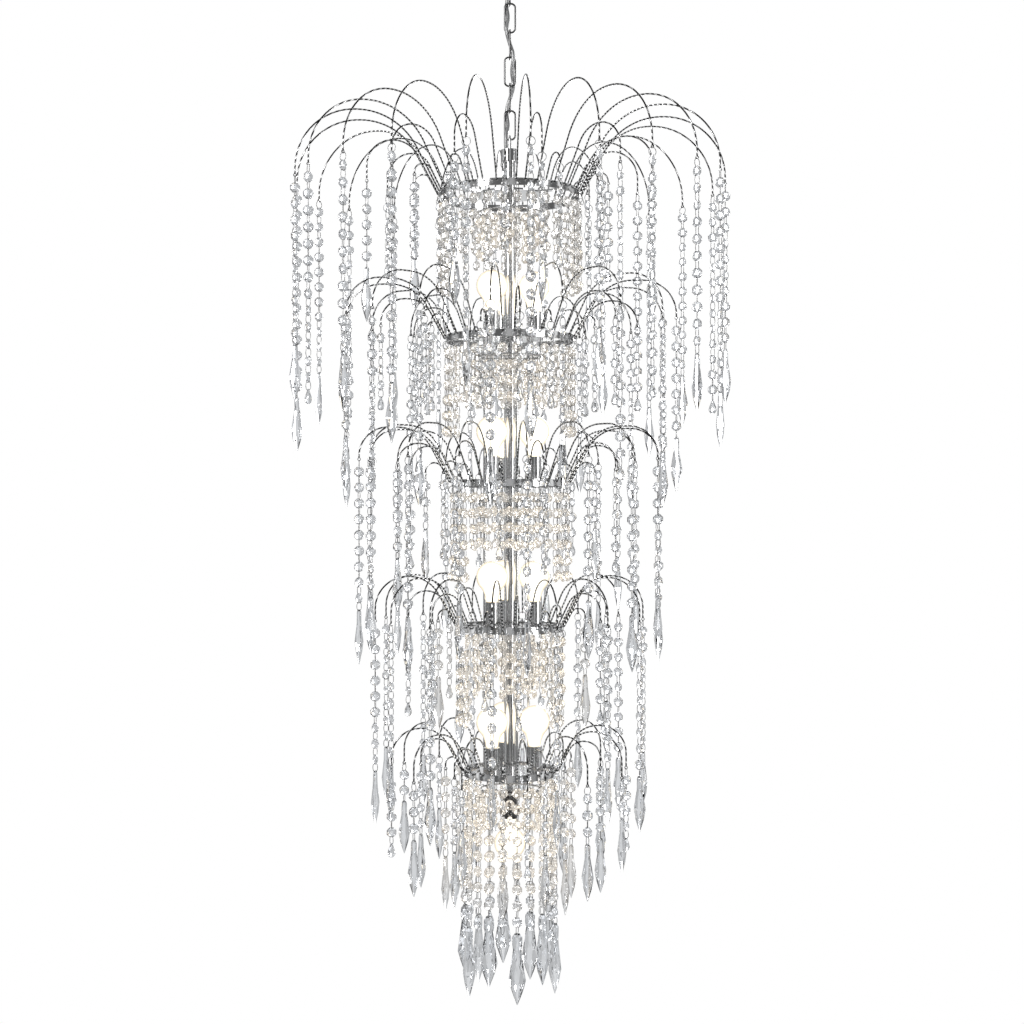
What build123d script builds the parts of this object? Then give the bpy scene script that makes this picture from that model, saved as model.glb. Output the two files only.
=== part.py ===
from build123d import *
import os
from math import cos, hypot, pi, radians, sin, tan
from typing import NamedTuple

# A crystal chandelier that hangs from a chain. Millimetres, +Z up.
# The origin is on the vertical axis, at the face of the ceiling. An azimuth is in degrees,
# 0 towards -Y (the front) and 90 towards +X.

# ---- play and fits ----
play = 0.3                    # between pieces that move on each other
slip = 0.15                   # between fixed pieces that are pushed together
past = 1.0                    # how far a cut runs past the face that it leaves

# ---- ceiling fitting ----
bracket_length = 104.0
bracket_width = 20.0
bracket_thickness = 2.5
bracket_drop = 18.0           # ceiling to the top of the bracket's middle
screw_spacing = 80.0          # between the two ceiling holes
screw_hole = 2.25             # radius
nipple_radius = 5.0
nipple_bore = 3.6             # radius
nipple_above_nut = 1.0
nipple_in_barrel = 8.0
nut_across = 14.0
nut_height = 4.0
terminal_length = 18.0
terminal_width = 16.0
terminal_height = 13.0
terminal_screw = 1.6          # radius of the holes over the clamps
terminal_end = 12.0           # axis to the end face that the cable leaves
terminal_gap = 0.5            # terminal block to the bracket's leg
barrel_radius = 15.0
barrel_length = 20.0
barrel_below_collar = 3.0
bell_radius = 7.0             # wide mouth of the barrel's bore
bell_height = 8.0
canopy_radius = 60.0
canopy_height = 46.0
canopy_wall = 1.2
canopy_round = 12.0
collar_radius = 20.0
collar_height = 5.0

# ---- chain ----
link_count = 6
link_reach = 41.4             # centre to centre of a link's two end bars
link_half_width = 7.5         # to the centre of the side wire
link_corner = 6.0
link_wire = 1.3               # radius
eye_wire = 2.0                # radius, of the ceiling eye and of the top loop
eye_half_width = 9.5
eye_corner = 6.0
eye_drop = 20.6               # barrel to the middle of the eye's bar
loop_rise = 18.7              # boss to the middle of the top loop's bar
weld = 2.0                    # how far the ends of the eye and of the loop are let in

# ---- supply cable, woven through the chain ----
cable_radius = 2.75
cable_out = 6.0               # off both planes of the links where two links meet
cable_out_at_eyes = 6.6
cable_in = 2.0                # off the axis where it passes through a link
cable_height = 9.5            # ceiling to the cable where it leaves the terminal block
cable_straight = 50.0         # ceiling to the end of its straight run in the barrel
cable_end = 25.0              # boss top to the end inside the column
cable_out_at_boss = 5.4       # off both planes of the top loop, where it enters the boss

# ---- column ----
boss_radius = 13.0
boss_height = 14.0
boss_roof = 3.0
boss_wall = 3.0
boss_hole = 4.0               # radius, for the cable
column_radius = 8.5
column_bore = 7.0
column_flange = 3.0
column_collar_radius = 14.0
column_collar_height = 5.0
first_tier_drop = 51.0        # column top to the first ring
tier_pitch = 207.0
plate_radius = 48.0
plate_thickness = 2.0
spoke_count = 6
spoke_width = 10.0
band_height = 10.0
band_thickness = 2.0
rod_radius = 2.0
rod_circle = 38.0
rod_azimuth = 15.0
lamps_per_tier = 3
lamp_circle = 36.0
lamp_azimuth = -45.0

# ---- inner hoops ----
hoop_radius = 45.0
hoop_wire = 1.5               # radius
hoop_drop = 25.0              # ring to hoop
stud_radius = 1.2
stud_azimuth = 75.0
stud_count = 3
inner_spacing = 30.0          # degrees between inner strands
inner_bead_count = 3
inner_bead_count_over_lamp = 2
lamp_shadow = 42.0            # degrees each side of a lamp in which the strands are short

# ---- lamps ----
holder_radius = 11.0
holder_height = 36.0
holder_floor = 3.0
cap_radius = 7.0
cap_length = 22.0
bulb_radius = 22.5
bulb_height = 58.0            # length of the glass
bulb_neck = 9.0               # radius
bulb_shoulder = 13.0          # radius where the neck runs into the globe
stem_flange_radius = 13.5
stem_flange_height = 7.0
stem_radius = 5.0
stem_bore = 3.0
stem_length = 15.0
stem_spigot = 8.0
black_holder_radius = 10.0
black_holder_height = 40.0
black_holder_roof = 4.0

# ---- arms ----
arm_wire = 1.1                # radius
arm_rise_angle = 62.0         # from the horizontal, at the foot
bend_share = 0.45             # of the shorter run beside a bend that the bend may take
inner_share = 0.38            # of the level run, taken by the arch's inner bend
inner_most = 0.8              # of the rising run, the most that the inner bend takes
outer_share = 0.6             # of the level run, taken by the outer bend
outer_most = 0.93             # of the falling run, the most that the outer bend takes
arm_foot = 3.0                # length of the straight foot
arm_foot_height = 2.0         # ring to foot
eyelet_radius = 2.4
eyelet_hole = 1.5             # radius
eyelet_thickness = 1.6
azimuth_waver = 1.3           # degrees, how unevenly the arms stand

# ---- strands ----
bead_pitch = 22.5
bead_radius = 7.0
strand_wire = 0.6             # radius of the wire between beads
ring_radius = 5.8             # to the centre of the top ring's wire
ring_wire = 0.45              # radius
drop_gap = 15.5               # last bead's middle to the top of the drop
band_hole = 1.5               # radius
band_hole_rise = 2.4          # band's lower edge to the hole
over_arm = 4.0                # least height of a strand's end over an arm below it
side_bead_count = 6           # on the band's plain strands at its two sides
side_from = 48.0              # degrees from the front or the back where the sides begin


class Drop(NamedTuple):
    length: float
    radius: float
    widest: float             # top to the widest place
    top: float                # radius at the top
    tip: float                # radius at the tip


icicle = Drop(78.0, 8.8, 52.0, 1.8, 0.5)
great_icicle = Drop(100.0, 12.8, 66.0, 2.6, 0.7)
pip = Drop(20.0, 7.2, 14.0, 1.2, 3.5)


class Arm(NamedTuple):
    reach: float              # axis to the eyelet
    peak: float               # ring to the top of the arch
    end: float                # ring to the eyelet
    strands: tuple            # beads and drop, taken in turn


class Tier(NamedTuple):
    ring: float               # outer radius of the band
    slots: int                # arms in the fan
    front: float              # azimuth of the front long arm
    long: Arm
    medium: Arm
    short: Arm
    curtain: int              # strands on the band
    curtain_strands: tuple


thin_bead_count = 5
thin_end = (thin_bead_count, pip)
thin_ends = ((thin_bead_count, icicle), thin_end)
curtain_bead_count = 4
plain_curtain = ((curtain_bead_count, None),)
least_bead_count = 3          # over an icicle
tiers = [
    Tier(
        101.0, 44, 4.9,
        Arm(308.0, 111.0, 14.0, ((13, icicle), (10, icicle), (13, pip), (11, icicle))),
        Arm(205.0, 77.0, 18.0, ((5, icicle), (8, pip))),
        Arm(143.0, 36.0, 20.0, (thin_end, (4, icicle))),
        30, plain_curtain,
    ),
    Tier(
        92.0, 32, -6.0,
        Arm(238.0, 82.0, 27.0, ((8, icicle), (7, icicle), (9, pip))),
        Arm(185.0, 57.0, 18.0, ((6, icicle), (5, icicle))),
        Arm(125.0, 30.0, 14.0, ((4, pip), (3, icicle))),
        28, plain_curtain,
    ),
    Tier(
        84.0, 32, 6.0,
        Arm(216.0, 80.0, 34.0, ((9, icicle), (8, icicle))),
        Arm(165.0, 56.0, 18.0, thin_ends),
        Arm(122.0, 30.0, 14.0, ((4, pip), (3, icicle))),
        25, plain_curtain,
    ),
    Tier(
        75.0, 28, -7.0,
        Arm(193.0, 74.0, 11.0, ((8, icicle), (9, icicle))),
        Arm(148.0, 52.0, 14.0, thin_ends),
        Arm(108.0, 28.0, 12.0, ((4, pip), (3, icicle))),
        22, plain_curtain,
    ),
    Tier(
        66.0, 24, 8.0,
        Arm(170.0, 64.0, 2.0, ((4, pip), (3, icicle), (2, icicle))),
        Arm(130.0, 45.0, 8.0, ((4, icicle),)),
        Arm(98.0, 26.0, 10.0, ((5, icicle),)),
        20, ((9, great_icicle), (8, pip), (8, great_icicle), (9, pip)),
    ),
]

# ---- heights and lengths that follow ----
bracket_middle = 2 * (terminal_end + terminal_length + terminal_gap + bracket_thickness)
strip_top = -bracket_drop
strip_bottom = strip_top - bracket_thickness
barrel_bottom = -(canopy_height + collar_height + barrel_below_collar)
barrel_top = barrel_bottom + barrel_length
nipple_top = strip_top + nut_height + nipple_above_nut
nipple_bottom = barrel_top - nipple_in_barrel
eye_bar = barrel_bottom - eye_drop


def link_top(k):
    """Height of the middle of link k's upper bar."""
    if k == 0:
        return eye_bar + eye_wire + link_wire + play
    return link_top(k - 1) - link_reach + 2 * link_wire + play


loop_bar = link_top(link_count - 1) - link_reach + link_wire + eye_wire + play
boss_top = loop_bar - loop_rise
column_top = boss_top - boss_height
ring_heights = [column_top - first_tier_drop - k * tier_pitch for k in range(len(tiers))]
column_bottom = ring_heights[-1] - column_collar_height
stem_bottom = column_bottom - stem_flange_height - stem_length
black_holder_bottom = stem_bottom - black_holder_height
under_eyelet = eyelet_hole - ring_wire - play + ring_radius
under_band_hole = band_hole - ring_wire - play + ring_radius
under_hoop = ring_radius - ring_wire - play - hoop_wire

os.makedirs("parts", exist_ok=True)


def save(name, *solids):
    """Writes one node, with each of its solids on its own."""
    node = solids[0] if len(solids) == 1 else Compound(children=list(solids))
    node.label = name
    export_step(node, f"parts/{name}.step")


def tube(radius, bore, top, bottom):
    height = top - bottom
    place = Pos(0, 0, (top + bottom) / 2)
    return place * (Cylinder(radius, height) - Cylinder(bore, height))


def rod(radius, top, bottom):
    return Pos(0, 0, (top + bottom) / 2) * Cylinder(radius, top - bottom)


def turned(points):
    """A solid turned about Z from an outline of (radius, height) points."""
    return revolve(Plane.XZ * Polygon(*points, align=None), axis=Axis.Z)


def wire_along(path, radius):
    section = Plane(origin=path @ 0, z_dir=path % 0) * Circle(radius)
    return sweep(section, path=path)


def facing(azimuth):
    """Turns what is modelled with +X outwards to an azimuth."""
    return Rot(0, 0, azimuth - 90)


def at(radius, azimuth, height=0.0):
    return facing(azimuth) * Pos(radius, 0, height)


# ---- ceiling fitting ----


def ceiling_bracket():
    foot = (bracket_length - bracket_middle) / 2
    middle = Pos(0, 0, (strip_top + strip_bottom) / 2) * Box(bracket_middle, bracket_width, bracket_thickness)
    bracket = middle
    for side in (-1, 1):
        flange = Box(foot, bracket_width, bracket_thickness)
        leg = Box(bracket_thickness, bracket_width, -strip_bottom)
        bracket += Pos(side * (bracket_middle + foot) / 2, 0, -bracket_thickness / 2) * flange
        bracket += Pos(side * (bracket_middle - bracket_thickness) / 2, 0, strip_bottom / 2) * leg
        bracket -= Pos(side * screw_spacing / 2, 0, 0) * Cylinder(screw_hole, 4 * bracket_thickness)
    return bracket - rod(nipple_radius + slip, strip_top + past, strip_bottom - past)


def terminal_block():
    top = strip_top + terminal_height
    middle = -(terminal_end + terminal_length / 2)
    block = Pos(middle, 0, top - terminal_height / 2) * Box(terminal_length, terminal_width, terminal_height)
    for k in (-1, 0, 1):
        clamp = Pos(middle, k * terminal_width / 3, top) * Cylinder(terminal_screw, terminal_height / 2)
        block -= clamp
    return block


def nut(top):
    outline = RegularPolygon(nut_across / 2, 6, major_radius=False)
    shape = Pos(0, 0, top - nut_height) * extrude(outline, nut_height)
    return shape - rod(nipple_radius + slip, top + past, top - nut_height - past)


def bail(bar, end, wire):
    """A U of round wire in the XZ plane, from a height `end` to a bar and back."""
    path = Plane.XZ * FilletPolyline(
        (-eye_half_width, end), (-eye_half_width, bar), (eye_half_width, bar), (eye_half_width, end),
        radius=eye_corner,
    )
    return wire_along(path, wire)


def ceiling_loop():
    barrel = turned([
        (nipple_radius + slip, barrel_top), (barrel_radius, barrel_top), (barrel_radius, barrel_bottom),
        (bell_radius, barrel_bottom), (bell_radius, barrel_bottom + bell_height),
        (nipple_bore, barrel_bottom + bell_height), (nipple_bore, nipple_bottom),
        (nipple_radius + slip, nipple_bottom),
    ])
    return barrel + bail(eye_bar, barrel_bottom + weld, eye_wire)


def canopy():
    def cup(radius, bottom, corner):
        body = rod(radius, 0, bottom)
        return fillet(body.edges().filter_by(GeomType.CIRCLE).sort_by(Axis.Z)[0], corner)

    shell = cup(canopy_radius, -canopy_height, canopy_round)
    shell -= cup(canopy_radius - canopy_wall, -canopy_height + canopy_wall, canopy_round - canopy_wall)
    return shell - rod(barrel_radius + play, 0, -canopy_height)


def collar_ring():
    ring = tube(collar_radius, barrel_radius + play, -canopy_height, -canopy_height - collar_height)
    return chamfer(ring.edges().group_by(Axis.Z)[0].sort_by(SortBy.LENGTH)[-1], collar_height / 5)


# ---- chain and cable ----


def chain_link(k):
    middle = link_top(k) - link_reach / 2
    outline = RectangleRounded(2 * link_half_width, link_reach, link_corner).wire()
    link = wire_along(Plane.XZ * outline, link_wire)
    return Pos(0, 0, middle) * (Rot(0, 0, 90) * link if k % 2 == 0 else link)


def cable_route():
    """Terminal block, nipple, then a turn about the chain that passes through every link."""
    points = [(-terminal_end, 0, -cable_height), (0, 0, -cable_height), (0, 0, -cable_straight)]
    x, y = 1, 1
    for k in range(link_count):
        meets = eye_bar + (eye_wire + play) / 2 + link_wire if k == 0 else link_top(k)
        out = cable_out_at_eyes if k == 0 else cable_out
        points.append((x * out, y * out, meets))
        through = link_top(k) - link_reach / 2
        if k % 2 == 0:
            points.append((0, y * cable_in, through))
            x = -x
        else:
            points.append((x * cable_in, 0, through))
            y = -y
    points.append((x * cable_out_at_eyes, y * cable_out_at_eyes, loop_bar))
    points.append((x * cable_out_at_boss, y * cable_out_at_boss, boss_top - boss_roof))
    points.append((0, 0, boss_top - cable_end))
    return points, (x, y)


def supply_cable():
    points, _ = cable_route()
    corners = [Vector(*p) for p in points]
    radii = []
    for before, here, after in zip(corners, corners[1:], corners[2:]):
        turn = (here - before).get_angle(after - here)
        run = min((here - before).length, (after - here).length)
        radii.append(bend_share * run / tan(radians(turn / 2)))
    path = FilletPolyline(*corners, radius=radii)
    cable = wire_along(path, cable_radius)
    expected = pi * cable_radius**2 * path.length
    print("cable radii:", [round(r, 1) for r in radii])
    print(f"cable length {path.length:.1f}, volume {cable.volume:.0f}, section times length {expected:.0f}")
    return cable


def top_loop():
    loop = Rot(0, 0, 90) * bail(loop_bar, boss_top - weld, eye_wire)
    boss = rod(boss_radius, boss_top, column_top)
    boss -= rod(boss_radius - boss_wall, boss_top - boss_roof, column_top)
    _, (x, y) = cable_route()
    hole = Pos(x * cable_out_at_boss, y * cable_out_at_boss, boss_top) * Cylinder(boss_hole, 4 * boss_roof)
    return boss + loop - hole


# ---- column and rings ----


def column_tube():
    column = rod(column_radius, column_top, column_bottom)
    column += rod(boss_radius, column_top, column_top - column_flange)
    for height in ring_heights:
        column += rod(column_collar_radius, height, height - column_collar_height)
    return column - rod(column_bore, column_top, column_bottom)


def tie_rods():
    rods = []
    for upper, lower in zip(ring_heights, ring_heights[1:]):
        for k in range(lamps_per_tier):
            place = at(rod_circle, rod_azimuth + k * 360 / lamps_per_tier)
            rods.append(place * rod(rod_radius, upper, lower + plate_thickness))
    return rods


def curtain_azimuths(tier):
    return [(k + 0.5) * 360 / tier.curtain for k in range(tier.curtain)]


def band_hole_height(height):
    return height - band_height / 2 + band_hole_rise


def tier_frame(tier, height):
    inside = tier.ring - band_thickness
    band = tube(tier.ring, inside, height + band_height / 2, height - band_height / 2)
    hole = Pos(tier.ring - band_thickness / 2, 0, band_hole_height(height))
    hole *= Rot(0, 90, 0) * Cylinder(band_hole, 4 * band_thickness)
    band -= [facing(azimuth) * hole for azimuth in curtain_azimuths(tier)]
    plate = rod(plate_radius, height + plate_thickness, height)
    length = inside + band_thickness / 2
    spoke = Pos(length / 2, 0, height + plate_thickness / 2) * Box(length, spoke_width, plate_thickness)
    frame = band + plate + [facing(k * 360 / spoke_count) * spoke for k in range(spoke_count)]
    return frame - rod(column_radius + slip, height + band_height, height - band_height)


def inner_hoop(height):
    hoop = Pos(0, 0, height - hoop_drop) * Torus(hoop_radius, hoop_wire)
    stud = Pos(hoop_radius, 0, 0) * rod(stud_radius, height, height - hoop_drop)
    return hoop + [facing(stud_azimuth + k * 360 / stud_count) * stud for k in range(stud_count)]


# ---- lamps ----


def lamp_azimuths():
    return [lamp_azimuth + k * 360 / lamps_per_tier for k in range(lamps_per_tier)]


def lamp_holder(radius, height, floor):
    """Standing on z = 0, open at the top."""
    return rod(radius, height, 0) - rod(cap_radius + play, height, floor)


def bulb():
    """Standing on z = 0 where the glass begins, the cap below it."""
    middle = bulb_height - bulb_radius
    shoulder = middle - (bulb_radius**2 - bulb_shoulder**2) ** 0.5
    half = radians(45)
    upper = (bulb_radius * cos(half), middle + bulb_radius * sin(half))
    dome = [(bulb_shoulder, shoulder), (bulb_radius, middle), upper]
    edges = [
        Line((0, -cap_length), (cap_radius, -cap_length)), Line((cap_radius, -cap_length), (cap_radius, 0)),
        Line((cap_radius, 0), (bulb_neck, 0)), Line((bulb_neck, 0), dome[0]),
        ThreePointArc(dome[0], (bulb_radius * cos(-half / 2), middle - bulb_radius * sin(half / 2)), dome[1]),
        ThreePointArc(dome[1], dome[2], (0, bulb_height)),
        Line((0, bulb_height), (0, -cap_length)),
    ]
    return revolve(Plane.XZ * make_face(edges), axis=Axis.Z)


def pendant_stem():
    flange_bottom = column_bottom - stem_flange_height
    stem = rod(stem_flange_radius, column_bottom, flange_bottom)
    stem += rod(column_bore - slip, column_bottom + stem_spigot, column_bottom)
    stem += rod(stem_radius, flange_bottom, stem_bottom)
    return stem - rod(stem_bore, column_bottom + stem_spigot, stem_bottom)


# ---- arms and strands ----


def arm(tier, shape):
    """An arm in the XZ plane, +X outwards, with z = 0 at the ring."""
    foot_end = tier.ring + arm_foot
    rise_end = foot_end + (shape.peak - arm_foot_height) / tan(radians(arm_rise_angle))
    top_run = shape.reach - rise_end
    rise_run = hypot(rise_end - foot_end, shape.peak - arm_foot_height)
    wire_end = shape.end + (eyelet_hole + eyelet_radius) / 2
    half_turn = tan(radians(arm_rise_angle / 2))
    foot_bend = bend_share * arm_foot / half_turn
    inner_bend = min(inner_share * top_run, inner_most * rise_run) / half_turn
    outer_bend = min(outer_share * top_run, outer_most * (shape.peak - wire_end))
    path = Plane.XZ * FilletPolyline(
        (tier.ring, arm_foot_height), (foot_end, arm_foot_height), (rise_end, shape.peak),
        (shape.reach, shape.peak), (shape.reach, wire_end),
        radius=[foot_bend, inner_bend, outer_bend],
    )
    place = Pos(shape.reach, 0, shape.end) * Rot(90, 0, 0)
    eyelet = place * Cylinder(eyelet_radius, eyelet_thickness)
    hole = place * Cylinder(eyelet_hole, 3 * eyelet_thickness)
    return wire_along(path, arm_wire) + eyelet - hole


def strand_length(beads, drop):
    """From the middle of the top ring to the lowest point."""
    last = bead_pitch * (beads - 0.5)
    return last + (bead_radius if drop is None else drop_gap + drop.length)


strand_cache = {}


def strand(beads, drop):
    """Hangs from z = 0, the middle of its top ring, which stands square to X."""
    if (beads, drop) not in strand_cache:
        outline = [(0, bead_radius - bead_pitch / 2)]
        for k in range(beads):
            middle = -bead_pitch * (k + 0.5)
            outline.append((strand_wire, middle + bead_radius))
            outline.append((bead_radius, middle))
            outline.append((strand_wire, middle - bead_radius))
        if drop:
            top = middle - drop_gap
            outline += [(strand_wire, top), (drop.top, top), (drop.radius, top - drop.widest)]
            outline += [(drop.tip, top - drop.length)]
        outline.append((0, outline[-1][1]))
        body = turned(outline)
        ring = Rot(0, 90, 0) * Torus(ring_radius, ring_wire)
        strand_cache[beads, drop] = (body + ring).solid()
    return strand_cache[beads, drop]


class Place(NamedTuple):
    azimuth: float
    shape: Arm
    beads: int
    drop: Drop


def arm_azimuth(tier, slot):
    waver = azimuth_waver * sin(radians(73 * slot * (slot + 3)))
    return tier.front + slot * 360 / tier.slots + (waver if slot else 0)


def arm_shape(tier, slot):
    return (tier.long, tier.medium, tier.long, tier.short)[slot % 4]


def room_below(k, shape, azimuth):
    """Height free under an eyelet, down to the arms of the next tier that pass below it."""
    if k + 1 == len(tiers):
        return tier_pitch * 2
    below = tiers[k + 1]
    free = tier_pitch * 2
    for slot in range(below.slots):
        apart = (arm_azimuth(below, slot) - azimuth + 180) % 360 - 180
        other = arm_shape(below, slot)
        sideways = abs(sin(radians(apart))) * shape.reach
        if abs(apart) < 90 and sideways < 2 * bead_radius and other.reach > shape.reach - 2 * bead_radius:
            free = min(free, tier_pitch + shape.end - other.peak - over_arm)
    return free


def fan(k):
    """Where each arm of tier k stands, and what hangs from it."""
    tier = tiers[k]
    places = []
    used = {}
    for slot in range(tier.slots):
        shape = arm_shape(tier, slot)
        azimuth = arm_azimuth(tier, slot)
        turn = used.get(shape, 0)
        used[shape] = turn + 1
        beads, drop = shape.strands[turn % len(shape.strands)]
        free = room_below(k, shape, azimuth) - under_eyelet
        while strand_length(beads, drop) > free:
            beads, drop = (beads - 1, drop) if beads > least_bead_count else thin_end
        places.append(Place(azimuth, shape, beads, drop))
    return places


def hung_from_band(tier, height):
    strands = []
    for k, azimuth in enumerate(curtain_azimuths(tier)):
        beads, drop = tier.curtain_strands[k % len(tier.curtain_strands)]
        if drop is None and abs(sin(radians(azimuth))) > sin(radians(side_from)):
            beads = side_bead_count
        place = at(tier.ring - band_thickness / 2, azimuth, band_hole_height(height) - under_band_hole)
        strands.append(place * Rot(0, 0, 90) * strand(beads, drop))
    return strands


def hung_from_hoop(height):
    strands = []
    for k in range(int(360 / inner_spacing)):
        azimuth = k * inner_spacing
        near = min(abs((azimuth - lamp + 180) % 360 - 180) for lamp in lamp_azimuths())
        beads = inner_bead_count_over_lamp if near < lamp_shadow else inner_bead_count
        place = at(hoop_radius, azimuth, height - hoop_drop - under_hoop)
        strands.append(place * Rot(0, 0, 90) * strand(beads, None))
    return strands


# ---- build and write ----

save("ceiling_bracket", ceiling_bracket())
save("terminal_block", terminal_block())
save("threaded_nipple", tube(nipple_radius, nipple_bore, nipple_top, nipple_bottom))
save("nipple_nuts", nut(strip_top + nut_height), nut(strip_bottom))
save("ceiling_loop", ceiling_loop())
save("canopy", canopy())
save("collar_ring", collar_ring())
for k in range(link_count):
    save(f"chain_link_{k}", chain_link(k))
save("supply_cable", supply_cable())
save("top_loop", top_loop())
save("column_tube", column_tube())
save("tie_rods", *tie_rods())
save("inner_hoops", *[inner_hoop(height) for height in ring_heights])

inner_strands = []
holders = []
bulbs = 0
for k, (tier, height) in enumerate(zip(tiers, ring_heights)):
    number = k + 1
    save(f"tier_frame_{number}", tier_frame(tier, height))
    arm_of = {shape: Pos(0, 0, height) * arm(tier, shape) for shape in (tier.long, tier.medium, tier.short)}
    places = fan(k)
    save(f"arms_tier_{number}", *[facing(place.azimuth) * arm_of[place.shape] for place in places])
    strands = []
    for place in places:
        eyelet = at(place.shape.reach, place.azimuth, height + place.shape.end - under_eyelet)
        strands.append(eyelet * strand(place.beads, place.drop))
    save(f"swing_strand_{number}", strands[0])
    save(f"arm_strands_tier_{number}", *strands[1:])
    save(f"curtain_tier_{number}", *hung_from_band(tier, height))
    inner_strands += hung_from_hoop(height)
    if k:
        standing = height + plate_thickness
        for azimuth in lamp_azimuths():
            place = at(lamp_circle, azimuth, standing)
            holders.append(place * lamp_holder(holder_radius, holder_height, holder_floor))
            bulbs += 1
            save(f"bulb_{bulbs}", place * Pos(0, 0, holder_height + play) * bulb())
save("inner_strands", *inner_strands)
save("lamp_holders", *holders)
save("pendant_stem", pendant_stem())
upside_down = Pos(0, 0, stem_bottom) * Rot(180, 0, 0)
save("pendant_holder", upside_down * lamp_holder(black_holder_radius, black_holder_height, black_holder_roof))
save(f"bulb_{bulbs + 1}", Pos(0, 0, black_holder_bottom - play) * Rot(180, 0, 0) * bulb())
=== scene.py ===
import math
import random

import bmesh
import bpy
import numpy as np
from mathutils import Matrix, Vector


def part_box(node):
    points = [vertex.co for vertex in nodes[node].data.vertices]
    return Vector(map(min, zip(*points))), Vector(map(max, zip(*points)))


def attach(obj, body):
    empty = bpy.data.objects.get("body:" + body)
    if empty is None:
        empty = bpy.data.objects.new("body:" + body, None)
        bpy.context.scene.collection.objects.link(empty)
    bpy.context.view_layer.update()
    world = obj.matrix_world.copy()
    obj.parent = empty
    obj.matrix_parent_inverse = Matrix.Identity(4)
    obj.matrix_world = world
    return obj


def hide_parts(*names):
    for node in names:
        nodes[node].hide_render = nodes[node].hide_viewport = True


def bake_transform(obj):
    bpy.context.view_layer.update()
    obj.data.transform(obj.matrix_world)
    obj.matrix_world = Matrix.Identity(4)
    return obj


# A crystal chandelier on its chain, seen from the front against white.
# Metres, +Z up, the origin at the ceiling. The front is -Y.

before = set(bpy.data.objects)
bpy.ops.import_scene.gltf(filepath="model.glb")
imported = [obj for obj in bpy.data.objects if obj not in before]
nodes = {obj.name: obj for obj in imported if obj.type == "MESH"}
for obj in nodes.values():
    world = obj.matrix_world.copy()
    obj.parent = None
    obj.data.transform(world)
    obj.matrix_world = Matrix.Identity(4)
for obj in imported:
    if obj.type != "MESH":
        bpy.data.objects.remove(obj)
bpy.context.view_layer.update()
random.seed(7)

TIERS = 5
LAMPS = 13
LINKS = 6

# ---- camera ----
camera = bpy.data.objects.new("camera", bpy.data.cameras.new("camera"))
bpy.context.scene.collection.objects.link(camera)
bpy.context.scene.camera = camera
camera.data.sensor_width = 36.0
camera.data.lens = 56.25
camera.data.clip_end = 50.0
camera.location = (0.0029, -2.30, -0.840)
camera.rotation_euler = (math.radians(90), 0, 0)


# ---- shader graphs ----


class Value:
    """A socket that Python's + - * ** and abs work on."""

    def __init__(self, graph, socket):
        self.graph = graph
        self.socket = socket

    def __add__(self, other): return self.graph.maths("ADD", self, other)
    def __radd__(self, other): return self.graph.maths("ADD", other, self)
    def __sub__(self, other): return self.graph.maths("SUBTRACT", self, other)
    def __rsub__(self, other): return self.graph.maths("SUBTRACT", other, self)
    def __mul__(self, other): return self.graph.maths("MULTIPLY", self, other)
    def __rmul__(self, other): return self.graph.maths("MULTIPLY", other, self)
    def __pow__(self, other): return self.graph.maths("POWER", self, other)
    def __abs__(self): return self.graph.maths("ABSOLUTE", self)

    def sine(self): return self.graph.maths("SINE", self)
    def least(self, other): return self.graph.maths("MINIMUM", self, other)
    def most(self, other): return self.graph.maths("MAXIMUM", self, other)

    def rises(self, start, end):
        """0 below start, 1 above end, smooth in between."""
        return self.graph.node("ShaderNodeMapRange", {"interpolation_type": "SMOOTHSTEP"},
                               {"Value": self, "From Min": start, "From Max": end})

    def falls(self, start, end):
        return 1 - self.rises(start, end)


class Graph:
    """The nodes of one material or of the world."""

    def __init__(self, tree):
        self.tree = tree
        tree.nodes.clear()

    def node(self, kind, settings=None, inputs=None, output=0):
        made = self.tree.nodes.new(kind)
        for name, value in (settings or {}).items():
            setattr(made, name, value)
        for name, value in (inputs or {}).items():
            if isinstance(value, Value):
                self.tree.links.new(value.socket, made.inputs[name])
            else:
                made.inputs[name].default_value = value
        return Value(self, made.outputs[output]) if len(made.outputs) else made

    def maths(self, operation, a, b=0.0):
        return self.node("ShaderNodeMath", {"operation": operation}, {0: a, 1: b})

    def mix(self, share, a, b):
        """Colour a where share is 0, and b where it is 1."""
        return self.node("ShaderNodeMix", {"data_type": "RGBA"}, {0: share, 6: a, 7: b}, 2)

    def place(self):
        """Where a point of the surface is, in metres."""
        return self.node("ShaderNodeTexCoord", output=3)

    def noise(self, scale, detail=2.0):
        inputs = {"Vector": self.place(), "Scale": scale, "Detail": detail}
        return self.node("ShaderNodeTexNoise", None, inputs)

    def parts(self, vector):
        """X, Y and Z of a vector."""
        made = self.node("ShaderNodeSeparateXYZ", None, {"Vector": vector})
        return [Value(self, socket) for socket in made.socket.node.outputs]

    def bump(self, height, distance, strength=0.5):
        inputs = {"Height": height, "Distance": distance, "Strength": strength}
        return self.node("ShaderNodeBump", None, inputs)

    def surface(self, **inputs):
        """Ends a material in a Principled shader; input names have _ for a space."""
        named = {name.replace("_", " "): value for name, value in inputs.items()}
        shader = self.node("ShaderNodeBsdfPrincipled", None, named)
        self.node("ShaderNodeOutputMaterial", None, {"Surface": shader})


def material(name, draw, *details):
    made = bpy.data.materials.new(name)
    made.use_nodes = True
    draw(Graph(made.node_tree), *details)
    return made


def grey(level, warmth=0.0):
    return (level * (1 + warmth), level, level * (1 - warmth), 1)


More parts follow.
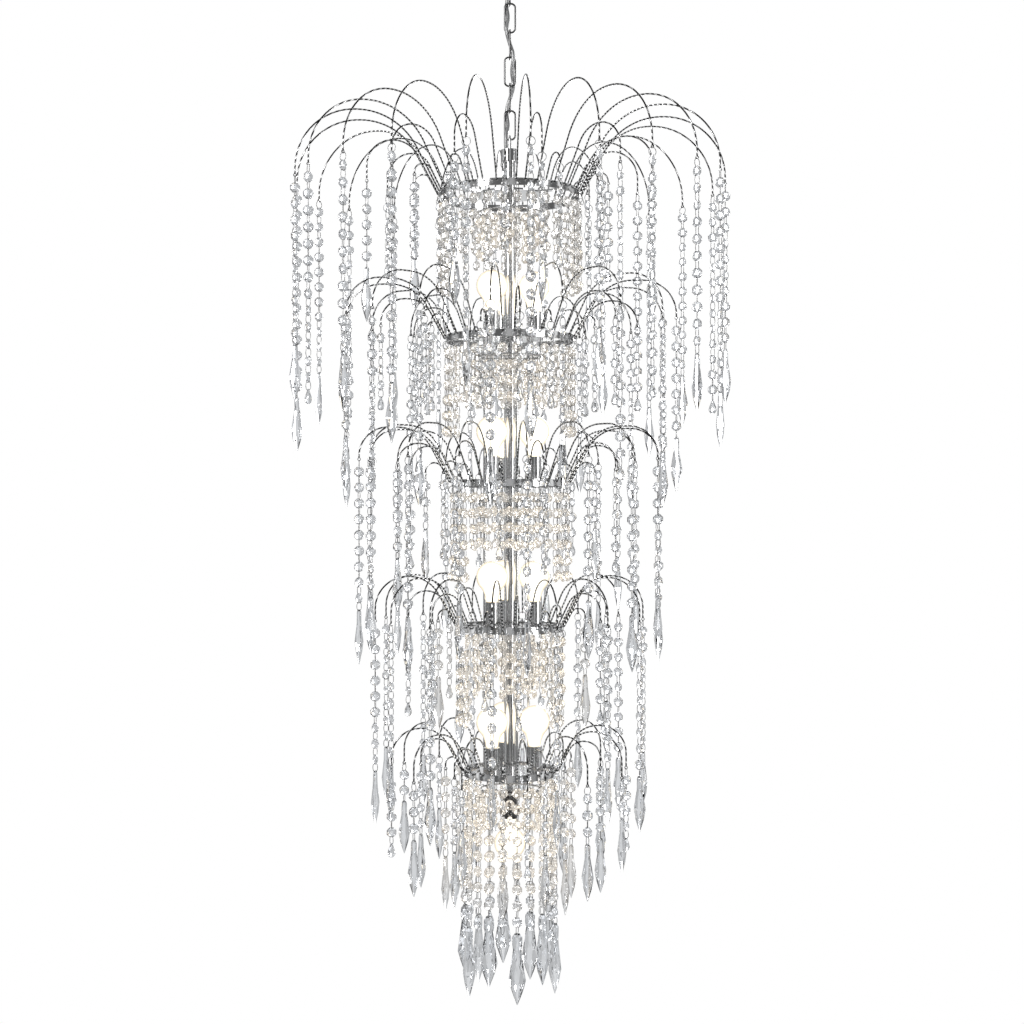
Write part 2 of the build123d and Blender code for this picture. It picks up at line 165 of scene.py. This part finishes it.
def plated(g, dark, light, rough):
    """Plated metal with handling marks and a fine orange peel."""
    marks = g.noise(24.0, 4.0)
    grain = g.noise(900.0, 2.0)
    g.surface(Base_Color=g.mix(marks, dark, light), Metallic=1.0,
              Roughness=rough + 0.10 * marks ** 3 + 0.03 * grain,
              Normal=g.bump(grain, 0.00003))


def twisted_wire(g):
    """Bright wire with the dark and light dashes of its twist painted in: painted shade in near-black dashes
    and painted highlight in light ones.
    """
    x, y, z = g.parts(g.place())
    out = (x * x + y * y) ** 0.5
    turn = ((out + 0.9 * z) * 900.0).sine() * 0.5 + 0.5
    marks = g.noise(60.0, 3.0)
    # Painted shade and highlight: along the twist the colour goes near black or light grey.
    shade = turn.rises(0.35, 0.95)
    g.surface(Base_Color=g.mix(shade, grey(0.03), grey(0.75)), Metallic=1.0,
              Roughness=0.12 + 0.14 * marks, Normal=g.bump(turn, 0.0003, 0.6))


def cut_glass(g):
    """Clear cut glass with a slightly uneven polish, cool outside, with painted lamp light round the lamps: a
    cream tint and a faint painted glow.
    """
    x, y, z = g.parts(g.place())
    out = (x * x + y * y) ** 0.5
    cloud = g.noise(45.0, 3.0)
    polish = g.noise(500.0, 2.0)
    cool = g.mix(cloud, (0.84, 0.86, 0.88, 1), (0.98, 0.98, 0.99, 1))
    painted_lamp_tint = g.mix(cloud, (0.86, 0.81, 0.74, 1), (0.98, 0.95, 0.90, 1))
    # Painted lamp light: near the lamps the colour takes a cream tint and the emission a faint glow.
    near = (out + 0.03 * cloud).falls(0.080, 0.145) * z.rises(-1.42, -1.33)
    painted_lamp_glow = near * (0.25 + 0.75 * cloud)
    g.surface(Base_Color=g.mix(near, cool, painted_lamp_tint), Transmission_Weight=1.0,
              IOR=1.56, Roughness=0.004 + 0.02 * polish ** 3,
              Emission_Color=g.mix(painted_lamp_glow, (0, 0, 0, 1), (1.0, 0.90, 0.78, 1)),
              Emission_Strength=0.10)


def lit_glass(g):
    """Opal glass, lit from inside: near white in the middle and cream at its edge."""
    edge = g.node("ShaderNodeLayerWeight", None, {"Blend": 0.6}, 1)
    cloud = g.noise(30.0, 3.0)
    glow = g.mix(edge + 0.05 * cloud, (1.0, 0.94, 0.80, 1), (0.15, 0.105, 0.05, 1))
    cream = g.mix(cloud, (0.26, 0.235, 0.18, 1), (0.33, 0.30, 0.24, 1))
    g.surface(Base_Color=cream, Roughness=0.16 + 0.08 * cloud, Coat_Weight=0.5,
              Emission_Color=glow, Emission_Strength=2.4)


def moulded(g, colour, other, rough):
    """Plastic or lacquer with a fine skin."""
    skin = g.noise(700.0, 3.0)
    cloud = g.noise(40.0, 3.0)
    g.surface(Base_Color=g.mix(cloud, colour, other), Roughness=rough + 0.12 * cloud,
              Normal=g.bump(skin, 0.00008), Coat_Weight=0.25 + 0.2 * cloud)


def braided(g):
    """Tinned braid under a clear sheath, from how far along and how far round."""
    along = g.node("ShaderNodeAttribute", {"attribute_name": "along"}, None, 2)
    around = g.node("ShaderNodeAttribute", {"attribute_name": "around"}, None, 2)
    lay, strands = 2400.0, 50.27
    one = (along * lay + around * strands).sine()
    two = (along * lay - around * strands).sine()
    weave = (one * two) * 0.5 + 0.5
    cloud = g.noise(60.0, 3.0)
    g.surface(Base_Color=g.mix(weave, grey(0.12), grey(0.52)), Metallic=0.55 + 0.3 * weave,
              Roughness=0.30 + 0.15 * cloud, Coat_Weight=1.0, Coat_Roughness=0.08,
              Normal=g.bump(weave, 0.0002))


def pale_floor(g):
    cloud = g.noise(3.0, 3.0)
    g.surface(Base_Color=g.mix(cloud, grey(0.86), grey(0.92)), Roughness=0.7 + 0.1 * cloud)


chrome = material("chrome", plated, grey(0.58), grey(0.80), 0.07)
wire = material("arm_wire", twisted_wire)
zinc = material("zinc", plated, (0.50, 0.51, 0.53, 1), (0.70, 0.71, 0.72, 1), 0.28)
brass = material("brass", plated, (0.62, 0.47, 0.20, 1), (0.83, 0.69, 0.38, 1), 0.18)
block = material("block", moulded, grey(0.80, 0.02), grey(0.90, 0.02), 0.42)
black = material("black", moulded, grey(0.012), grey(0.03), 0.22)
sheath = material("sheath", braided)
glass = material("crystal", cut_glass)
opal = material("lamp_glass", lit_glass)
steel = material("steel_wire", plated, grey(0.20), grey(0.36), 0.12)
chain = material("chain_steel", plated, grey(0.10), grey(0.24), 0.10)

finishes = {
    "ceiling_bracket": zinc, "terminal_block": block,
    "threaded_nipple": brass, "nipple_nuts": brass,
    "ceiling_loop": chrome, "canopy": chrome, "collar_ring": chrome, "top_loop": chrome,
    "column_tube": chrome, "tie_rods": chrome, "inner_hoops": chrome, "lamp_holders": chrome,
    "pendant_stem": chrome, "pendant_holder": black,
}
finishes.update({f"chain_link_{k}": chain for k in range(LINKS)})
finishes.update({f"tier_frame_{k + 1}": chrome for k in range(TIERS)})
finishes.update({f"arms_tier_{k + 1}": wire for k in range(TIERS)})
for name, finish in finishes.items():
    nodes[name].data.materials.clear()
    nodes[name].data.materials.append(finish)


# ---- meshes ----
HOLE_RADIUS = 0.00085
DRILL_LENGTH = 0.04


def piece(name, points, faces, finish, smooth):
    mesh = bpy.data.meshes.new(name)
    mesh.from_pydata([tuple(p) for p in points], [], [tuple(f) for f in faces])
    mesh.materials.append(finish)
    mesh.shade_smooth() if smooth else mesh.shade_flat()
    made = bpy.data.objects.new(name, mesh)
    bpy.context.scene.collection.objects.link(made)
    return made


class Heap:
    """Copies of small forms, gathered into one mesh."""

    def __init__(self):
        self.points, self.faces, self.count = [], [], 0

    def add(self, form, place):
        points, faces = form
        turned = np.c_[points, np.ones(len(points))] @ np.array(place).T
        self.points.append(turned[:, :3])
        self.faces.extend([tuple(k + self.count for k in face) for face in faces])
        self.count += len(points)

    def piece(self, name, finish, smooth):
        return piece(name, np.concatenate(self.points), self.faces, finish, smooth)


def cut_form(rings, holes):
    """A faceted solid from rings of (height, half width, half depth), drilled through along X."""
    sides = 8
    shape = bmesh.new()
    made = []
    for k, (height, width, depth) in enumerate(rings):
        shift = 0.5 * (k % 2)
        turns = [2 * math.pi * (n + shift) / sides for n in range(sides)]
        made.append([shape.verts.new((depth * math.cos(a), width * math.sin(a), height)) for a in turns])
    stitch(shape, made)
    return drilled(shape, holes)


def stitch(shape, rings):
    """Triangles between rings that are each turned by half a side from the last."""
    for k, (upper, lower) in enumerate(zip(rings, rings[1:])):
        count = len(upper)
        for n in range(count):
            m = (n + 1) % count
            if k % 2 == 0:
                shape.faces.new((upper[n], lower[n], upper[m]))
                shape.faces.new((upper[m], lower[n], lower[m]))
            else:
                shape.faces.new((upper[n], lower[n], lower[m]))
                shape.faces.new((upper[n], lower[m], upper[m]))
    shape.faces.new(list(reversed(rings[-1])))
    shape.faces.new(rings[0])


def drilled(shape, holes):
    """Points and faces of a form with round holes through it along X."""
    bmesh.ops.recalc_face_normals(shape, faces=shape.faces)
    body = bpy.data.objects.new("form", bpy.data.meshes.new("form"))
    shape.to_mesh(body.data)
    shape.free()
    drill = bmesh.new()
    for height in holes:
        place = Matrix.Translation((0, 0, height)) @ Matrix.Rotation(math.radians(90), 4, "Y")
        bmesh.ops.create_cone(drill, cap_ends=True, segments=10, radius1=HOLE_RADIUS,
                              radius2=HOLE_RADIUS, depth=DRILL_LENGTH, matrix=place)
    tool = bpy.data.objects.new("drill", bpy.data.meshes.new("drill"))
    drill.to_mesh(tool.data)
    drill.free()
    for made in (body, tool):
        bpy.context.scene.collection.objects.link(made)
    cut = body.modifiers.new("cut", "BOOLEAN")
    cut.operation, cut.object, cut.solver = "DIFFERENCE", tool, "EXACT"
    bpy.context.view_layer.update()
    graph = bpy.context.evaluated_depsgraph_get()
    result = bpy.data.meshes.new_from_object(body.evaluated_get(graph))
    points = np.array([v.co for v in result.vertices])
    faces = [tuple(f.vertices) for f in result.polygons]
    bpy.data.objects.remove(body)
    bpy.data.objects.remove(tool)
    return points, faces


def octagon_bead():
    """Flat octagon with three rows of facets round a small table on each side."""
    shape = bmesh.new()
    girdle = BEAD_RADIUS / math.cos(math.pi / 8)
    rows = ((0.0004, girdle, 0.5), (0.0024, 0.0056, 0.0), (0.0034, 0.0034, 0.5), (0.0039, 0.0011, 0.0))
    for side in (-1, 1):
        for out, radius, turn in rows:
            for n in range(8):
                a = math.pi / 4 * (n + turn)
                shape.verts.new((side * out, radius * math.cos(a), radius * math.sin(a)))
    bmesh.ops.convex_hull(shape, input=shape.verts)
    bmesh.ops.dissolve_limit(shape, angle_limit=math.radians(1), verts=shape.verts, edges=shape.edges)
    return drilled(shape, (BEAD_HOLE, -BEAD_HOLE))


def ring_form(half_width, half_height, wire_radius, steps=20, sides=6):
    """A wire ring or oval link in the XZ plane. An oval has fuller ends than an ellipse."""
    points, faces = [], []
    fullness = 1.0 if half_width == half_height else 0.6
    for i in range(steps):
        a = 2 * math.pi * (i + 0.5) / steps
        x = half_width * math.copysign(abs(math.cos(a)) ** fullness, math.cos(a))
        z = half_height * math.sin(a)
        for j in range(sides):
            b = 2 * math.pi * j / sides
            out = wire_radius * math.cos(b)
            points.append((x + out * math.cos(a), wire_radius * math.sin(b), z + out * math.sin(a)))
    for i in range(steps):
        for j in range(sides):
            i2, j2 = (i + 1) % steps, (j + 1) % sides
            faces.append((i * sides + j, i * sides + j2, i2 * sides + j2, i2 * sides + j))
    return np.array(points), faces


def turned_form(outline, sides=40):
    """A form turned about Z from (radius, height) points, closed at both ends on the axis."""
    points = [(0, 0, outline[0][1])]
    faces = []
    for radius, height in outline:
        for n in range(sides):
            a = 2 * math.pi * n / sides
            points.append((radius * math.cos(a), radius * math.sin(a), height))
    points.append((0, 0, outline[-1][1]))
    last = len(points) - 1
    for n in range(sides):
        m = (n + 1) % sides
        faces.append((0, 1 + m, 1 + n))
        for k in range(len(outline) - 1):
            a, b = 1 + k * sides, 1 + (k + 1) * sides
            faces.append((a + n, a + m, b + m, b + n))
        end = 1 + (len(outline) - 1) * sides
        faces.append((last, end + n, end + m))
    return np.array(points), faces


# ---- crystals ----
BEAD_RADIUS = 0.007
BEAD_HOLE = 0.00545             # from the middle of a bead to each of its two holes
PITCH = 0.0225                  # from bead to bead
RING = 0.0058
RING_WIRE = 0.00045
LINK_HALF_WIDTH = 0.0034
DROP_GAP = 0.0155               # from the middle of the last bead to the top of the drop
GREAT_DROP, DROP, PIP = 0.1000, 0.0780, 0.0200
LEAN, FIRST_TURN, TWIST, HEAVY_TWIST = 0.02, 0.10, 0.30, 0.10   # spread of the random angles

bead = octagon_bead()
top_ring = ring_form(RING, RING, RING_WIRE)
link = ring_form(LINK_HALF_WIDTH, RING, RING_WIRE)
HOLE_BELOW_TOP = -0.0016
icicle = cut_form(
    [(0, 0.0020, 0.0016), (-0.004, 0.0040, 0.0030), (-0.020, 0.0042, 0.0034), (-0.046, 0.0088, 0.0060),
     (-0.060, 0.0064, 0.0046), (-0.078, 0.0004, 0.0004)], (HOLE_BELOW_TOP,))
great_icicle = cut_form(
    [(0, 0.0036, 0.0028), (-0.005, 0.0074, 0.0054), (-0.016, 0.0074, 0.0056), (-0.023, 0.0060, 0.0048),
     (-0.046, 0.0094, 0.0074), (-0.066, 0.0126, 0.0092), (-0.080, 0.0086, 0.0064), (-0.100, 0.0005, 0.0005)],
    (HOLE_BELOW_TOP,))
pip = cut_form(
    [(0, 0.0014, 0.0012), (-0.004, 0.0026, 0.0022), (-0.010, 0.0052, 0.0044), (-0.0145, 0.0060, 0.0052),
     (-0.0185, 0.0044, 0.0036), (-0.020, 0.0020, 0.0016)], (HOLE_BELOW_TOP,))
drops = {GREAT_DROP: great_icicle, DROP: icicle, PIP: pip}


def islands(mesh):
    """Lowest and highest corner of each separate solid in a mesh."""
    count = len(mesh.vertices)
    co = np.zeros(count * 3, np.float32)
    mesh.vertices.foreach_get("co", co)
    co = co.reshape(-1, 3)
    edges = np.zeros(len(mesh.edges) * 2, np.int32)
    mesh.edges.foreach_get("vertices", edges)
    _, same = np.unique(np.round(co * 2e5).astype(np.int64), axis=0, return_inverse=True)
    same = same.ravel()
    ends = same[edges.reshape(-1, 2)]
    label = np.arange(same.max() + 1)
    while True:
        least = np.minimum(label[ends[:, 0]], label[ends[:, 1]])
        new = label.copy()
        np.minimum.at(new, ends[:, 0], least)
        np.minimum.at(new, ends[:, 1], least)
        new = new[new]
        if (new == label).all():
            break
        label = new
    owner = label[same]
    found = []
    for k in np.unique(owner):
        own = co[owner == k]
        found.append((own.min(0), own.max(0)))
    return found


def contents(height, reach):
    """How many beads a strand of this height and half width has, and the length of its drop."""
    body = height - RING - RING_WIRE
    for drop, radius in ((GREAT_DROP, 0.012), (DROP, 0.008), (PIP, 0.0)):
        beads = (body - DROP_GAP - drop) / PITCH + 0.5
        if reach > radius and abs(beads - round(beads)) < 0.05:
            return round(beads), drop
    return round((body - BEAD_RADIUS) / PITCH + 0.5), None


def hang(crystals, wires, corner, other, across):
    """One strand, from the box of its CAD solid. across: its first ring lies along the radius."""
    x, y = (corner[0] + other[0]) / 2, (corner[1] + other[1]) / 2
    beads, drop = contents(other[2] - corner[2], (other[0] - corner[0]) / 2)
    turn = math.atan2(y, x) + (0 if across else math.pi / 2) + random.gauss(0, FIRST_TURN)
    twist = HEAVY_TWIST if drop == GREAT_DROP else TWIST
    height = other[2] - RING - RING_WIRE
    for k in range(beads + 1):
        if k < beads or drop:
            place = Matrix.Translation((x, y, height)) @ Matrix.Rotation(turn, 4, "Z")
            wires.add(link if k else top_ring, place)
        turn += random.gauss(0, twist)
        if k < beads:
            lean = Matrix.Rotation(random.gauss(0, LEAN), 4, "Y")
            place = Matrix.Translation((x, y, height - PITCH / 2)) @ Matrix.Rotation(turn, 4, "Z")
            crystals.add(bead, place @ lean)
            turn += random.gauss(0, twist)
            height -= PITCH
    if drop:
        top = height + PITCH / 2 - DROP_GAP
        crystals.add(drops[drop], Matrix.Translation((x, y, top)) @ Matrix.Rotation(turn, 4, "Z"))


def dress(node, body, across):
    """Cut crystals and wire rings in place of one node of strands."""
    crystals, wires = Heap(), Heap()
    for corner, other in islands(nodes[node].data):
        hang(crystals, wires, corner, other, across)
    for made, slot in ((crystals.piece(f"{node}_crystals", glass, False), "crystal"),
                       (wires.piece(f"{node}_rings", steel, True), "chrome")):
        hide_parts(node)
        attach(made, body)


for k in range(1, TIERS + 1):
    dress(f"arm_strands_tier_{k}", "chandelier", False)
    dress(f"curtain_tier_{k}", "chandelier", True)
    dress(f"swing_strand_{k}", f"strand_{k}", False)
dress("inner_strands", "chandelier", True)


# ---- bulbs ----
CAP_LENGTH = 0.022
CAP_RADIUS = 0.007
THREAD_DEPTH, THREAD_TURNS = 0.0006, 5
GLOBE = 0.0225


def bulb_outline(length):
    """Neck, shoulder and globe of the glass, from the cap up."""
    centre = length - GLOBE
    outline = [(0.0088, 0.0), (0.0092, 0.003), (0.0100, 0.008), (0.0122, 0.014)]
    for k in range(15):
        a = math.radians(-48 + 138 * k / 14)
        outline.append((max(GLOBE * math.cos(a), 0.0002), centre + GLOBE * math.sin(a)))
    return outline


def cap_outline():
    """A screw cap with rounded threads, from its contact up."""
    outline = [(0.0024, 0.0), (0.0026, 0.0008), (0.0040, 0.0022), (0.0062, 0.0032)]
    steps = 44
    for k in range(steps + 1):
        share = k / steps
        wave = 0.5 + 0.5 * math.sin(2 * math.pi * share * THREAD_TURNS)
        outline.append((CAP_RADIUS - 0.0007 + THREAD_DEPTH * wave, 0.0036 + share * 0.0160))
    outline += [(CAP_RADIUS - 0.0002, 0.0202), (CAP_RADIUS - 0.0002, CAP_LENGTH)]
    return outline


for k in range(1, LAMPS + 1):
    node = f"bulb_{k}"
    corner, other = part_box(node)
    x, y = (corner.x + other.x) / 2, (corner.y + other.y) / 2
    upside_down = k == LAMPS
    base = other.z if upside_down else corner.z
    flip = Matrix.Rotation(math.pi, 4, "X") if upside_down else Matrix.Identity(4)
    place = Matrix.Translation((x, y, base)) @ flip
    length = other.z - corner.z - CAP_LENGTH
    globe, cap = Heap(), Heap()
    globe.add(turned_form(bulb_outline(length)), place @ Matrix.Translation((0, 0, CAP_LENGTH)))
    cap.add(turned_form(cap_outline(), 32), place)
    for made, slot in ((globe.piece(f"{node}_glass", opal, True), "lamp_glass"),
                       (cap.piece(f"{node}_cap", brass, True), "brass")):
        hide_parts(node)
        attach(made, node)


# ---- supply cable ----
CABLE = 0.00275                 # radius
LINK_WIRE = 0.0013
LOOP_WIRE = 0.0018
REACH = 0.0414                  # from the middle of a link's top wire to that of its bottom wire
BEND = 0.012                    # half the height about each joint


def cable_points():
    """The route of the cable through every link, as in the CAD source."""
    tops = [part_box(f"chain_link_{k}")[1].z - LINK_WIRE for k in range(LINKS)]
    loop_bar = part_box("top_loop")[1].z - 0.002
    boss_top = loop_bar - 0.0187
    points = [(-0.012, 0, -0.0095), (0, 0, -0.0095), (0, 0, -0.050)]
    x, y = 1, 1
    for k, top in enumerate(tops):
        out = 0.0066 if k == 0 else 0.0060
        points.append((x * out, y * out, top))
        if k % 2 == 0:
            points.append((0, y * 0.002, top - REACH / 2))
            x = -x
        else:
            points.append((x * 0.002, 0, top - REACH / 2))
            y = -y
    points.append((x * 0.0066, y * 0.0066, loop_bar))
    points.append((x * 0.0054, y * 0.0054, boss_top - 0.003))
    points.append((0, 0, boss_top - 0.025))
    return points, tops, loop_bar


def spline_line(points):
    """Points along the smooth line that the route's points control."""
    curve = bpy.data.curves.new("route", "CURVE")
    curve.dimensions = "3D"
    spline = curve.splines.new("NURBS")
    spline.points.add(len(points) - 1)
    for made, point in zip(spline.points, points):
        made.co = (*point, 1)
    spline.order_u = 3
    spline.use_endpoint_u = True
    spline.resolution_u = 16
    holder = bpy.data.objects.new("route", curve)
    bpy.context.scene.collection.objects.link(holder)
    bpy.context.view_layer.update()
    graph = bpy.context.evaluated_depsgraph_get()
    mesh = bpy.data.meshes.new_from_object(holder.evaluated_get(graph))
    line = [v.co.copy() for v in mesh.vertices]
    bpy.data.objects.remove(holder)
    return line


def tube_pieces(line, radius, cuts, sides=16):
    """Tubes along a line, cut at these heights; each point knows how far along and round it is."""
    side = Vector((0, 1, 0))
    gone = 0.0
    rings = []
    for k, here in enumerate(line):
        before, after = line[max(k - 1, 0)], line[min(k + 1, len(line) - 1)]
        ahead = (after - before).normalized()
        side = (side - ahead * side.dot(ahead)).normalized()
        third = ahead.cross(side)
        gone += (here - line[k - 1]).length if k else 0
        turns = [2 * math.pi * n / sides for n in range(sides)]
        ring = [here + radius * (math.cos(a) * side + math.sin(a) * third) for a in turns]
        rings.append((ring, gone))
    passed = [min(k for k, p in enumerate(line) if p.z < cut) for cut in cuts]
    limits = [0] + passed + [len(line) - 1]
    made = []
    for n, (first, last) in enumerate(zip(limits, limits[1:])):
        own = rings[first:last + 1]
        points = [p for ring, _ in own for p in ring]
        faces = []
        for i in range(last - first):
            for j in range(sides):
                m = (j + 1) % sides
                faces.append((i * sides + j, i * sides + m, (i + 1) * sides + m, (i + 1) * sides + j))
        faces.append(tuple(reversed(range(sides))))
        faces.append(tuple((last - first) * sides + j for j in range(sides)))
        tube = piece(f"supply_cable_{n + 1}", points, faces, sheath, True)
        along = [gone for _, gone in own for _ in range(sides)]
        around = [j / sides for _ in own for j in range(sides)]
        for name, values in (("along", along), ("around", around)):
            tube.data.attributes.new(name, "FLOAT", "POINT").data.foreach_set("value", values)
        made.append(tube)
    return made


route, tops, loop_bar = cable_points()
cuts = [top - REACH / 2 for top in tops]
joints = [tops[0] + LOOP_WIRE] + [top + LINK_WIRE for top in tops[1:]] + [loop_bar]
bodies = ["ceiling_mount"] + [f"link_{k}" for k in range(LINKS)] + ["chandelier"]
tubes = tube_pieces(spline_line(route), CABLE, cuts)
for tube, joint, upper, lower in zip(tubes, joints, bodies, bodies[1:]):
    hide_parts("supply_cable")
    joint + BEND
    joint - BEND
    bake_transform(tube)


# ---- studio ----


def studio(g):
    """White to the camera. Through glass a pale room, and in metal a dark one with bright faces.

    side is degrees from straight behind the chandelier, to either hand, and up is degrees above the level."""
    x, y, z = g.parts(g.node("ShaderNodeTexCoord", output=0))
    side = abs(g.maths("ARCTAN2", x, y)) * (180 / math.pi)
    up = g.maths("ARCSINE", z.least(0.999).most(-0.999)) * (180 / math.pi)
    back = side.falls(12, 24) * abs(up).falls(18, 30)
    strip = side.rises(48, 56) * side.falls(68, 80)
    wing = side.rises(83, 87) * side.falls(94, 100)
    screen = side.rises(108, 114) * side.falls(124, 132)
    front = side.rises(170, 174)
    walls = 0.38 * back + 0.30 * strip + 0.55 * wing + 0.12 * screen + 0.22 * front
    faces = walls * abs(up).falls(24, 38) + 0.38 * up.rises(48, 60) + 0.14 * (0 - up).rises(56, 68)
    lights = g.node("ShaderNodeLightPath")
    rays = {socket.name: Value(g, socket) for socket in lights.socket.node.outputs}
    through = rays["Is Transmission Ray"]
    mirrored = rays["Is Glossy Ray"].most(through)
    level = through * (0.53 + 0.62 * faces) + (1 - through) * (0.14 + 1.6 * faces)
    seen = rays["Is Camera Ray"]
    plain = g.mix(seen, (0.80, 0.82, 0.85, 1), (1, 1, 1, 1))
    shown = g.node("ShaderNodeCombineColor", None, {0: level * 0.98, 1: level * 0.99, 2: level})
    colour = g.mix(mirrored * (1 - seen), plain, shown)
    background = g.node("ShaderNodeBackground", None, {"Color": colour, "Strength": 1.0})
    g.node("ShaderNodeOutputWorld", None, {"Surface": background})


world = bpy.data.worlds.new("studio")
world.use_nodes = True
studio(Graph(world.node_tree))
bpy.context.scene.world = world


def area_light(name, place, target, size, power):
    light = bpy.data.lights.new(name, "AREA")
    light.shape = "RECTANGLE"
    light.size, light.size_y = size
    light.energy = power
    holder = bpy.data.objects.new(name, light)
    bpy.context.scene.collection.objects.link(holder)
    holder.location = place
    holder.rotation_mode = "QUATERNION"
    holder.rotation_quaternion = (Vector(target) - Vector(place)).to_track_quat("-Z", "Y")


middle = (0, 0, -0.8)
area_light("key", (-2.2, -2.4, 0.6), middle, (1.0, 1.6), 60)
area_light("fill", (2.6, -1.8, -0.6), middle, (0.8, 1.8), 30)
area_light("rim", (0.6, 2.6, -0.2), middle, (0.7, 1.8), 35)

floor = Heap()
floor.add(turned_form([(1.1, 0.0), (1.1, -0.01)], 96), Matrix.Translation((0, 0, -2.3)))
ground = floor.piece("floor", material("floor", pale_floor), False)

bpy.context.scene.view_settings.view_transform = "Standard"
